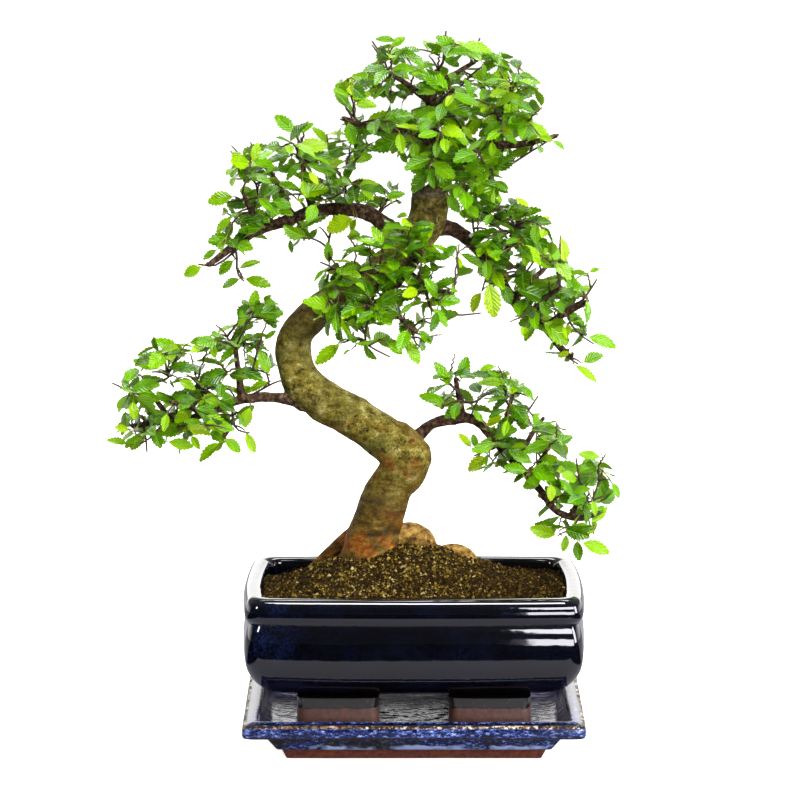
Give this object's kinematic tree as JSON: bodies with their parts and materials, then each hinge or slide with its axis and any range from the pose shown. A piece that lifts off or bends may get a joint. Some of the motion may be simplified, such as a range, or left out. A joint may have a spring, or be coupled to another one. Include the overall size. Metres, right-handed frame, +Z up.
{
  "type": "chinese elm bonsai in a pot on a tray",
  "caption": "Chinese elm bonsai with an S-curved trunk and leafy pads, planted in a glazed rectangular pot on a matching tray.",
  "frame": {"origin": "middle of the tray's flat underside", "axes": "+Z up the tree, -Y towards the front of the pot, +X to the right seen from the front"},
  "size_m": [0.2642, 0.138, 0.3574],
  "materials": {
    "elm_leaves": "glossy green leaf with paler underside",
    "elm_bark": "rough olive-brown bark",
    "soil_mix": "loose dark grit and peat with pale flecks",
    "pot_glaze": "glossy near-black navy glaze, feet bare brown clay",
    "tray_glaze": "glossy mottled blue glaze, foot bare red-brown clay",
    "mesh_plastic": "black moulded plastic mesh"
  },
  "bodies": {
    "root": {"drain_mesh_left": "mesh_plastic", "drain_mesh_right": "mesh_plastic", "pot": "pot_glaze", "soil": "soil_mix", "spray_centre_01": "elm_leaves", "spray_centre_02": "elm_leaves", "spray_centre_03": "elm_leaves", "spray_centre_04": "elm_leaves", "spray_centre_05": "elm_leaves", "spray_crown_01": "elm_leaves", "spray_crown_02": "elm_leaves", "spray_crown_03": "elm_leaves", "spray_crown_04": "elm_leaves", "spray_crown_05": "elm_leaves", "spray_crown_06": "elm_leaves", "spray_crown_07": "elm_leaves", "spray_crown_08": "elm_leaves", "spray_crown_09": "elm_leaves", "spray_crown_10": "elm_leaves", "spray_crown_11": "elm_leaves", "spray_crown_12": "elm_leaves", "spray_crown_13": "elm_leaves", "spray_left_high_01": "elm_leaves", "spray_left_high_02": "elm_leaves", "spray_left_high_03": "elm_leaves", "spray_left_high_04": "elm_leaves", "spray_left_high_05": "elm_leaves", "spray_left_high_06": "elm_leaves", "spray_left_low_01": "elm_leaves", "spray_left_low_02": "elm_leaves", "spray_left_low_03": "elm_leaves", "spray_left_low_04": "elm_leaves", "spray_left_low_05": "elm_leaves", "spray_left_low_06": "elm_leaves", "spray_left_low_07": "elm_leaves", "spray_right_high_01": "elm_leaves", "spray_right_high_02": "elm_leaves", "spray_right_high_03": "elm_leaves", "spray_right_high_04": "elm_leaves", "spray_right_high_05": "elm_leaves", "spray_right_high_06": "elm_leaves", "spray_right_low_01": "elm_leaves", "spray_right_low_02": "elm_leaves", "spray_right_low_03": "elm_leaves", "spray_right_low_04": "elm_leaves", "spray_right_low_05": "elm_leaves", "spray_right_low_06": "elm_leaves", "spray_right_low_07": "elm_leaves", "tray": "tray_glaze", "tree_wood": "elm_bark"}
  },
  "joints": []
}
